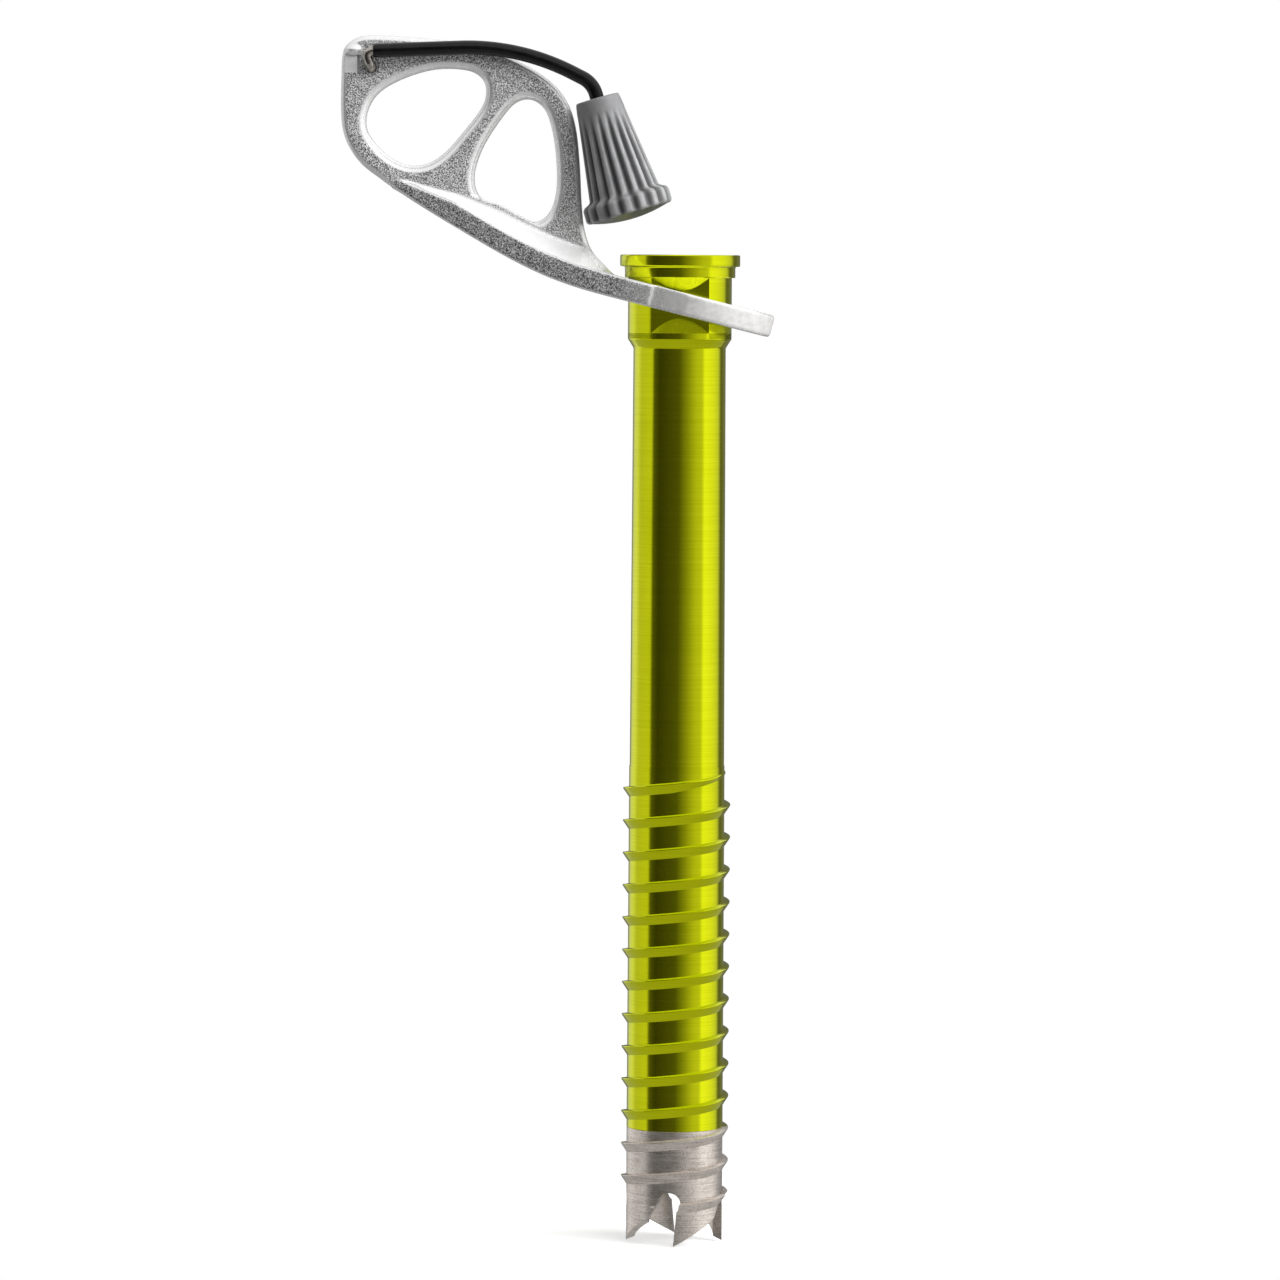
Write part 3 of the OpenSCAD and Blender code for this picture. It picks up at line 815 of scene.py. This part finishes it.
def corner_boss():
    """A small rounded boss above the pocket, at the plate's corner."""
    steps = 16
    sunk = 0.1
    half_length = 1.5
    half_width = 0.9
    angles = [math.pi * i / steps for i in range(steps + 1)]
    half_circle = [(math.sin(a) or 0.01, math.cos(a)) for a in angles]
    place = Matrix.Translation((*BOSS_PLACE, PLATE_T / 2 - sunk)) @ Matrix.Rotation(LEAN, 4, "Z")
    size = Matrix.Diagonal((half_length, half_width, half_width, 1))
    return solid_lathe("boss", half_circle, 32, UPRIGHT @ place @ size)


def smooth_skin(obj):
    """Melts the shells into one skin with soft inner corners."""
    voxel = 0.28
    remesh = obj.modifiers.new("skin", "REMESH")
    remesh.mode = "VOXEL"
    remesh.voxel_size = voxel * MM
    smooth = obj.modifiers.new("smooth", "SMOOTH")
    smooth.factor = 0.5
    smooth.iterations = 5
    apply_modifiers(obj)


def cut_seat(body):
    """The seat of the wire's bend and the hole of its pin."""
    place = UPRIGHT @ Matrix.Translation((*PIVOT, 0))
    for r, low in ((SEAT_R, PLATE_T / 2 - SEAT_DEPTH), (PIN_HOLE_R, -PLATE_T)):
        boolean(body, solid_lathe("seat", [(r, low), (r, PLATE_T)], 48, place), "DIFFERENCE")


def cut_pocket(body):
    """A shallow pocket beside the pin, open to the plate's end, with a deeper slit along its inner side."""
    place = UPRIGHT @ Matrix.Translation((*POCKET_PLACE, 0)) @ Matrix.Rotation(LEAN, 4, "Z")
    pocket = (-6, -2.6, 1.0, POCKET_DEPTH)
    slit = (-0.5, -2.8, 1.1, SLIT_DEPTH)
    for x, low, high, depth in (pocket, slit):
        outline = [(x, low), (0, low), (0, high), (x, high)]
        boolean(body, prism("pocket", outline, PLATE_T / 2 - depth, PLATE_T, place), "DIFFERENCE")


def hanger():
    plate = plate_loft("hanger_skin", closed_curve(PLATE_OUTLINE), EDGE_R)
    for corners in (OUTER_EYE, INNER_EYE):
        curve = closed_curve(list(reversed(corners)))
        boolean(plate, plate_loft("eye", curve, EYE_EDGE_R, cutter=True), "DIFFERENCE")
    ring = arm_and_ring()
    boolean(ring, ring_hole(), "DIFFERENCE")
    press_flats(ring)
    body = join(plate, ring, web(), corner_boss())
    smooth_skin(body)
    # The machined cuts come after the smoothing, so they stay sharp
    cut_seat(body)
    cut_pocket(body)
    mark_finish(body)
    # The smoothed skin is kept just inside the solid
    trim = 0.9996
    body.data.transform(Matrix.Scale(MM, 4) @ HANGER @ Matrix.Scale(trim / MM, 4))
    return body


def on_outer_side(x, y):
    """Whether a point lies on the outer side of the arm or the ring, or in the ring's hole."""
    if x < RING_SHIFT - 5:
        return abs(y) > arm_side(x) - 1
    return math.hypot(x - RING_SHIFT, y) > RING_R - 1 or math.hypot(x, y) < RING_HOLE_R + 0.5


def face_finish(centre, n):
    """Shares of the finishes and of the arm's painted shade on one face, in the order of the attribute
    names.
    """
    x, y, z = centre
    if abs(y) < PLATE_T / 2 + 0.1:
        # The floor of the pocket beside the pin is machined
        if n.y < -0.9 and POCKET_DEPTH - PLATE_T / 2 - 0.1 < y < 0 and x < -75.5:
            return 0, 0, 0, 1
        return share(abs(n.y), 0.955, 0.995), 0, 0, 0
    # The small boss beside the pin is tumbled bright
    above_arm = 20
    if z > above_arm:
        return 0, 0, 0, 0
    if on_outer_side(x, y):
        upright = share(math.hypot(n.x, n.y), 0.86, 0.96)
        # On the arm the upright faces are blasted and darkened with painted shade; on the ring they are
        # buffed
        arm = upright * share(x, 3, -15)
        return arm, arm, upright - arm, 0
    return 0, 0, 0, share(n.z, 0.35, 0.65)


def mark_finish(obj):
    """Writes each face's share of the finishes and of the painted shade as attributes."""
    mesh = obj.data
    shares = [face_finish(face.center / MM, face.normal) for face in mesh.polygons]
    for name, values in zip(FINISHES_AND_SHADE, zip(*shares)):
        mesh.attributes.new(name, "FLOAT", "FACE").data.foreach_set("value", values)


# Crank

def crossing(p, a, q, b):
    """Where the line from p at angle a meets the line from q at angle b."""
    p, q = Vector(p), Vector(q)
    da, db = direction(a), direction(b)
    return p + da * ((q - p).cross(db) / da.cross(db))


SLEEVE_START = Vector((-73.8, 34.47))
FALL_POINT = (-33, 40.2)
RISE, FALL, LEG = 16.3, -12.6, 125
PIVOT_BEND_R, BOW_R, KNOB_BEND_R = 1.2, 47, 5.4
LEG_CORNER = crossing(PIVOT, LEG, SLEEVE_START, RISE)
BOW_CORNER = crossing(SLEEVE_START, RISE, FALL_POINT, FALL)
KNOB_CORNER = crossing(FALL_POINT, FALL, KNOB_TOP, KNOB_ANGLE)


def bend_run(turn, r):
    """Length that a bend takes off each leg beside it."""
    return r * math.tan(math.radians(turn / 2))


def bow_legs(start, depth):
    """Legs from the start over the bow and down into the knob, as (length, turn, bend radius)."""
    bow = bend_run(RISE - FALL, BOW_R)
    bend = bend_run(FALL - KNOB_ANGLE, KNOB_BEND_R)
    return [
        ((BOW_CORNER - start).length - bow, RISE - FALL, BOW_R),
        ((KNOB_CORNER - BOW_CORNER).length - bow - bend, FALL - KNOB_ANGLE, KNOB_BEND_R),
        ((Vector(KNOB_TOP) - KNOB_CORNER).length - bend + depth, 0, 0),
    ]


def stations(legs, p, h):
    """Points and headings along a bar whose legs run straight and then bend clockwise."""
    p = Vector(p)
    out = [(p, h)]
    n = 24
    for run, turn, r in legs:
        if turn:
            centre = p + direction(h) * run + direction(h - 90) * r
            for k in range(n + 1):
                turned = h - turn * k / n
                out.append((centre + direction(turned + 90) * r, turned))
            p = centre + direction(h + 90 - turn) * r
            h -= turn
        else:
            out.append((p + direction(h) * run, h))
    return out


def section(centre, across, up, r):
    """Round section of a bar at one point, across two directions."""
    sides = 32
    angles = [2 * math.pi * k / sides for k in range(sides)]
    return [centre + r * (math.cos(a) * across + math.sin(a) * up) for a in angles]


def route(legs, p, h, r):
    """Sections along a bar that lies in front of the plate."""
    up = Vector((0, 0, 1))
    return [
        section(q.to_3d() + WIRE_FRONT * up, direction(a + 90).to_3d(), up, r)
        for q, a in stations(legs, p, h)
    ]


def crank_wire():
    """The wire with its pin and upset head, from behind the plate to the knob's wide end."""
    bend_r = PIVOT_BEND_R
    into_knob = KNOB_LENGTH - 2.4
    along = direction(LEG).to_3d()
    across = direction(LEG + 90).to_3d()
    up = Vector((0, 0, 1))
    pivot = Vector((*PIVOT, 0))
    head_z = -PLATE_T / 2 - WASHER_GAP - WASHER_T - HEAD_T
    rings = [section(pivot + head_z * up, across, -along, WIRE_R)]
    # The pin bends a quarter turn into the leg
    centre = pivot + (WIRE_FRONT - bend_r) * up + bend_r * along
    steps = 12
    for k in range(steps + 1):
        b = math.radians(90 * k / steps)
        out = math.sin(b) * up - math.cos(b) * along
        rings.append(section(centre + bend_r * out, across, out, WIRE_R))
    start = Vector(PIVOT) + direction(LEG) * (bend_r + 0.02)
    leg_run = bend_run(LEG - RISE, bend_r)
    rise_start = LEG_CORNER + direction(RISE) * leg_run
    legs = [((LEG_CORNER - start).length - leg_run, LEG - RISE, bend_r)]
    rings += route(legs + bow_legs(rise_start, into_knob), start, LEG, WIRE_R)
    wire = loft("crank_wire_skin", rings, matrix=PLACE)
    head = solid_lathe("head", [
        (1.2, 0), (1.35, 0.12), (1.6, 0.6), (1.6, HEAD_T - 0.02), (1.5, HEAD_T)
    ], 48, PLACE @ Matrix.Translation(pivot + head_z * up))
    return join(wire, head)


def wire_sleeve():
    into_knob = 3
    lip_length = 0.85
    legs = bow_legs(SLEEVE_START, into_knob)
    outer_rings = route(legs, SLEEVE_START, RISE, SLEEVE_R)
    inner_rings = route(legs, SLEEVE_START, RISE, WIRE_HOLE_R)
    first = sum(outer_rings[0], Vector((0, 0, 0))) / len(outer_rings[0])
    heading = direction(RISE).to_3d()
    # The cut end is slightly rounded
    lip = [[first + (v - first) * part + heading * along for v in outer_rings[0]]
           for part, along in ((0.74, 0), (0.84, 0.06), (0.92, 0.2), (0.97, 0.4), (0.99, 0.6))]
    outer_rings[0] = [v + heading * lip_length for v in outer_rings[0]]
    rings = lip + outer_rings + list(reversed(inner_rings))
    return loft("wire_sleeve_skin", rings, loop=True, matrix=PLACE)


def washer(name, r_out, low, thick, matrix):
    """Flat washer on the wire, with chamfered outer edges."""
    edge = 0.08
    high = low + thick
    return lathe(name, [
        (WIRE_HOLE_R, low), (r_out - edge, low), (r_out, low + edge),
        (r_out, high - edge), (r_out - edge, high), (WIRE_HOLE_R, high)
    ], 64, matrix)


def pivot_washer():
    r_out = 2.18
    low = -PLATE_T / 2 - WASHER_GAP - WASHER_T
    return washer("pivot_washer_skin", r_out, low, WASHER_T, PLACE @ Matrix.Translation((*PIVOT, 0)))


# Knob

KNOB = (PLACE @ Matrix.Translation((*KNOB_TOP, WIRE_FRONT))
        @ Matrix.Rotation(math.radians(KNOB_ANGLE), 4, "Z") @ Matrix.Rotation(math.radians(90), 4, "Y"))


def knob_rings():
    """Outside of the knob as (radius, height, depth of the flutes)."""
    rim_z = KNOB_LENGTH - KNOB_RIM_H
    cone_end = rim_z - 0.8
    cone = (KNOB_BODY_R - KNOB_SMALL_R) / cone_end
    edge = 0.4
    rings = [(r, z, 0) for r, z in arc((KNOB_SMALL_R - edge, edge), edge, -90, 0, 5)]
    steps = 40
    for i in range(1, steps + 1):
        t = i / steps
        z = edge + (0.975 * rim_z - edge) * t
        # The flutes fade in below the smooth narrow end
        fade = share(t, 0.13, 0.55)
        rings.append((KNOB_SMALL_R + cone * z, z, FLUTE_DEPTH * math.sin(fade * math.pi / 2)))
    # The body flares out into the rim
    flare = ((1.55, -0.15), (1.2, 0.05), (0.5, 0.38), (0.25, 0.6), (0.08, 0.9), (0, 1.3), (0, 2.2))
    for inwards, up in flare:
        rings.append((KNOB_RIM_R - inwards, rim_z + up, FLUTE_DEPTH))
    lip = 0.8
    for r, z in arc((KNOB_RIM_R - lip, KNOB_LENGTH - lip), lip, 0, 90, 8):
        rings.append((r, z, FLUTE_DEPTH * (0.5 + 0.5 * (KNOB_LENGTH - z) / lip)))
    return rings


def crank_knob():
    """The fluted knob with its bore, its socket for the sleeve and its open mouth."""
    per_flute = 20
    # Ridges are rounded and wider than the grooves
    deeper, narrower = 1.3, 1.8
    # The smooth end is a little darker too
    smooth_end_dark = 0.4
    n = FLUTES * per_flute
    rings = []
    grooves = []
    for r, z, depth in knob_rings():
        ring = []
        for k in range(n):
            phi = 2 * math.pi * k / n
            wave = (1 - math.cos(phi * FLUTES)) / 2
            d = deeper * depth * wave ** narrower
            ring.append(((r - d) * math.cos(phi), (r - d) * math.sin(phi), z))
            # Painted shade that follows the grooves' depth, and a plain darker tone on the smooth end
            grooves.append(wave * depth / FLUTE_DEPTH + smooth_end_dark * (1 - depth / FLUTE_DEPTH))
        rings.append(ring)
    step_z = KNOB_LENGTH - KNOB_MOUTH_DEPTH
    for r, z in ((KNOB_MOUTH_R, KNOB_LENGTH), (KNOB_MOUTH_R, step_z), (KNOB_BORE_R, step_z),
                 (KNOB_BORE_R, SOCKET_DEPTH), (SOCKET_R, SOCKET_DEPTH), (SOCKET_R, 0)):
        rings.append(circle(r, z, n))
    knob = loft("crank_knob_skin", rings, loop=True, matrix=KNOB)
    # The mouth, bore and socket inside are fully darkened as painted shade
    inside = len(knob.data.vertices) - len(grooves)
    mark_points(knob, "painted_shade_and_tone", grooves + [1.0] * inside)
    return knob


def knob_washer():
    r_out = 3.1
    thick = 0.8
    gap = 0.15
    low = KNOB_LENGTH - KNOB_MOUTH_DEPTH + gap
    return washer("knob_washer_skin", r_out, low, thick, KNOB)


def knob_cap():
    """Domed cap with a plug that sits in the knob's mouth."""
    centre_r = 0.05
    base_r = KNOB_RIM_R - 1.1
    base_z = KNOB_LENGTH + 0.01
    plug_r = KNOB_MOUTH_R - 0.05
    plug_z = KNOB_LENGTH - 1.6
    rise = 1.2
    dome_r = (base_r ** 2 + rise ** 2) / (2 * rise)
    span = math.degrees(math.asin(base_r / dome_r))
    top = KNOB_LENGTH + rise
    steps = 12
    dome = arc((0, top - dome_r), dome_r, 90 - span, 90, steps)[:-1]
    profile = [(centre_r, plug_z), (plug_r, plug_z), (plug_r, base_z), (base_r - 0.1, base_z)]
    cap = solid_lathe("knob_cap_skin", profile + dome + [(centre_r, top)], 128, KNOB)
    # The cap is a little darker all over
    mark_points(cap, "painted_shade_and_tone", [0.7] * len(cap.data.vertices))
    return cap


# Putting it together

def dress(obj, material, body, node, angle):
    """Gives a piece its material, its shading and its place in the model."""
    obj.data.materials.clear()
    obj.data.materials.append(material)
    shade(obj, angle)
    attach(obj, body)
    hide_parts(node)


anodised = anodised_material()
steel = tip_material()
forged = forged_material()
plastic = knob_material()
black = sleeve_material()
bright = wire_material()

dress(screw_tube(), anodised, "screw", "screw_tube", 28)
dress(steel_tip(), steel, "screw", "steel_tip", 28)
dress(hanger(), forged, "hanger", "hanger", 40)
dress(crank_wire(), bright, "crank", "crank_wire", 50)
dress(wire_sleeve(), black, "crank", "wire_sleeve", 50)
dress(pivot_washer(), bright, "crank", "pivot_washer", 35)
dress(crank_knob(), plastic, "knob", "crank_knob", 60)
dress(knob_washer(), bright, "crank", "knob_washer", 35)
dress(knob_cap(), plastic, "knob", "knob_cap", 30)


# Studio, in metres

# Brightness of the reflection cards by degrees round from the camera's side, left negative
CARD_LEVELS = (
    (-180, 0.15), (-162, 0.2), (-145, 0.8), (-125, 0.9), (-110, 0.64), (-72, 0.72), (-67, 0.10),
    (-50, 0.045), (0, 0.10), (22, 0.33), (44, 0.63), (60, 0.70), (66, 1.2), (95, 1.0), (114, 0.75),
    (126, 0.12), (150, 0.2), (180, 0.15)
)
LOW_CARD_LEVEL = 0.42
CARDS_R = 2.2
CARDS_HALF_H = 1.1
FLOOR_R = 0.15
FLOOR_GAP = 0.0003
ROUND = 96
SCREW_MIDDLE = Vector((0, 0, -0.08))
LAMP_DISTANCE = 1.1


def card_material():
    """Glow whose brightness goes round the object by CARD_LEVELS."""
    m = new_material("cards")
    m.tree.nodes.clear()
    split = m.add("ShaderNodeSeparateXYZ")
    m.link(m.add("ShaderNodeTexCoord").outputs["Object"], split.inputs[0])
    away = m.math("MULTIPLY", split.outputs["Y"], -1.0)
    angle = m.math("ARCTAN2", split.outputs["X"], away)
    turn = m.map_range(angle, -math.pi, math.pi, 0.0, 1.0)
    stops = [((degrees + 180) / 360, level) for degrees, level in CARD_LEVELS]
    glow = m.add("ShaderNodeEmission")
    m.link(m.ramp(turn, *stops), glow.inputs["Color"])
    m.link(glow.outputs[0], m.add("ShaderNodeOutputMaterial").inputs["Surface"])
    return m.owner


def low_card_material():
    m = new_material("low_card")
    m.feed("Base Color", (0.0, 0.0, 0.0))
    m.feed("Emission Color", (1.0, 1.0, 1.0))
    m.feed("Emission Strength", LOW_CARD_LEVEL)
    return m.owner


def reflection_cards():
    """Cards that only reflections see: a ring round the object, and a dimmer disc below it."""
    low, high = (circle(CARDS_R, z, ROUND) for z in (-CARDS_HALF_H, CARDS_HALF_H))
    low_card = make_object("low_card", low, [tuple(range(ROUND))], scale=1)
    low_card.data.materials.append(low_card_material())
    cards = make_object("reflection_cards", low + high, wall_faces(2, ROUND), scale=1)
    cards.data.materials.append(card_material())
    for card in (cards, low_card):
        for rays in ("camera", "diffuse", "transmission", "volume_scatter", "shadow"):
            setattr(card, "visible_" + rays, False)


def floor():
    """A pale disc that catches the contact shadow and fades out into the white background."""
    m = new_material("pale_floor")
    m.feed("Base Color", (0.9, 0.9, 0.9))
    m.feed("Roughness", 0.9)
    m.feed("Emission Color", (1.0, 1.0, 1.0))
    camera_ray = m.add("ShaderNodeLightPath").outputs["Is Camera Ray"]
    m.feed("Emission Strength", m.math("MULTIPLY", camera_ray, 0.5))
    reach = m.add("ShaderNodeVectorMath", operation="LENGTH")
    m.link(m.add("ShaderNodeTexCoord").outputs["Object"], reach.inputs[0])
    fade_start, fade_end = 0.025, 0.13
    m.feed("Alpha", m.map_range(reach.outputs["Value"], fade_start, fade_end, 1.0, 0.0))
    disc = make_object("floor", circle(FLOOR_R, 0, ROUND), [tuple(range(ROUND))], scale=1)
    disc.location = (0, 0, TIP_Z * MM - FLOOR_GAP)
    disc.data.materials.append(m.owner)
    disc.visible_glossy = False


def world():
    """White where the camera, reflections and glass see it, and dim as a light."""
    sky = bpy.data.worlds.new("studio")
    bpy.context.scene.world = sky
    m = Nodes(sky, "Background")
    path = m.add("ShaderNodeLightPath")
    mirrored = m.math("MAXIMUM", path.outputs["Is Glossy Ray"], path.outputs["Is Transmission Ray"])
    seen = m.math("MAXIMUM", path.outputs["Is Camera Ray"], mirrored)
    as_light, as_seen = 0.2, 1.0
    m.feed("Strength", m.map_range(seen, 0.0, 1.0, as_light, as_seen))
    m.feed("Color", (1.0, 1.0, 1.0))


def area_light(name, azimuth, height, width, tall, watts):
    """Soft box at an angle round from the camera's side, aimed at the middle of the screw."""
    data = bpy.data.lights.new(name, "AREA")
    data.shape = "RECTANGLE"
    data.size = width
    data.size_y = tall
    data.energy = watts
    lamp = bpy.data.objects.new(name, data)
    bpy.context.scene.collection.objects.link(lamp)
    a = math.radians(azimuth)
    lamp.location = (LAMP_DISTANCE * math.sin(a), -LAMP_DISTANCE * math.cos(a), height)
    lamp.rotation_euler = (SCREW_MIDDLE - lamp.location).to_track_quat("-Z", "Y").to_euler()
    lamp.visible_glossy = False


def camera():
    """Long lens from the photograph's side, looking slightly down and rolled a little."""
    data = bpy.data.cameras.new("camera")
    data.sensor_width = 36
    data.lens = 181.4
    obj = bpy.data.objects.new("camera", data)
    bpy.context.scene.collection.objects.link(obj)
    obj.location = (-0.00779, -1.330, -0.00485)
    look_down = 3.21
    roll = 0.36
    pitch = Matrix.Rotation(math.radians(90 - look_down), 4, "X")
    obj.rotation_euler = (pitch @ Matrix.Rotation(math.radians(roll), 4, "Z")).to_euler()
    bpy.context.scene.camera = obj


reflection_cards()
floor()
world()
area_light("left_soft_box", azimuth=-95, height=0.25, width=0.8, tall=1.4, watts=1.5)
area_light("right_soft_box", azimuth=70, height=0.35, width=0.8, tall=1.4, watts=22)
area_light("front_fill", azimuth=38, height=1.1, width=1.2, tall=0.8, watts=18)
camera()
bpy.context.scene.view_settings.view_transform = "Standard"
